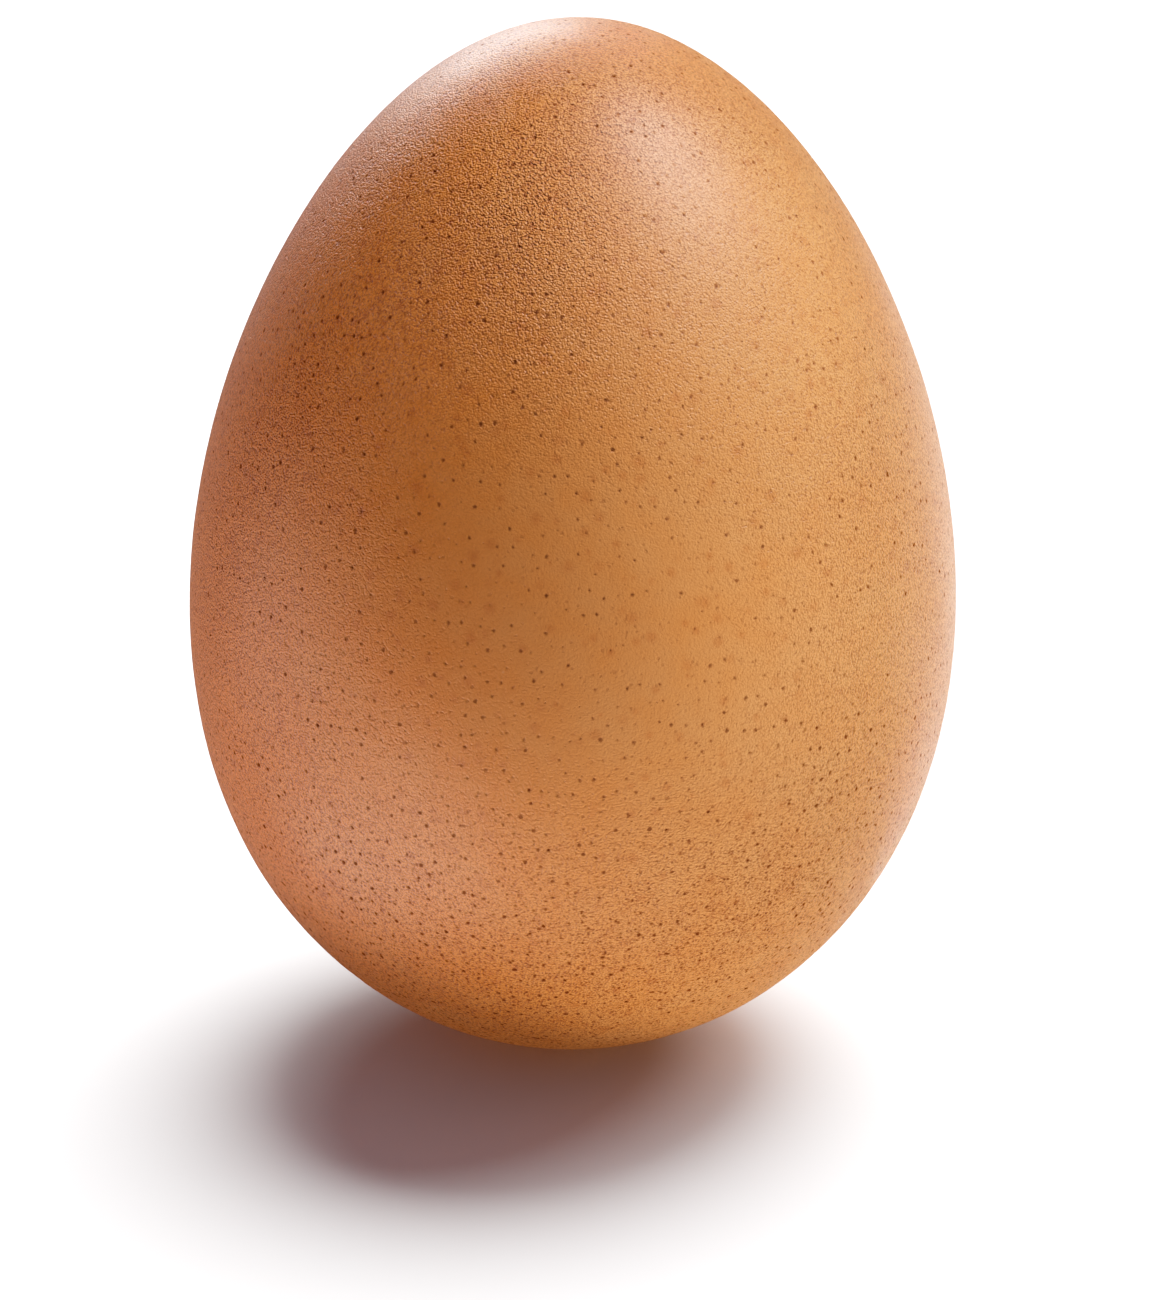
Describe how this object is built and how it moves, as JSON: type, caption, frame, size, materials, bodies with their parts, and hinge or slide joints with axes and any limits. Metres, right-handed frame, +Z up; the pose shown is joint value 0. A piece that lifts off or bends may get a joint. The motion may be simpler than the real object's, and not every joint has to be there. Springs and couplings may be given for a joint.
{
  "type": "hen egg",
  "caption": "Whole brown hen's egg in its shell, pointed end up, standing on a small flat spot on its blunt end.",
  "frame": {"origin": "middle of the small flat spot that the egg stands on, at the blunt end", "axes": "+Z up the egg's long axis, from the blunt end to the pointed end; the egg is round about it, so +X and +Y are free"},
  "size_m": [0.0432, 0.0432, 0.0588],
  "materials": {
    "eggshell": "orange brown shell with a soft satin sheen, a fine pebbled grain and dark brown pores"
  },
  "bodies": {
    "root": {"egg": "eggshell"}
  },
  "joints": []
}
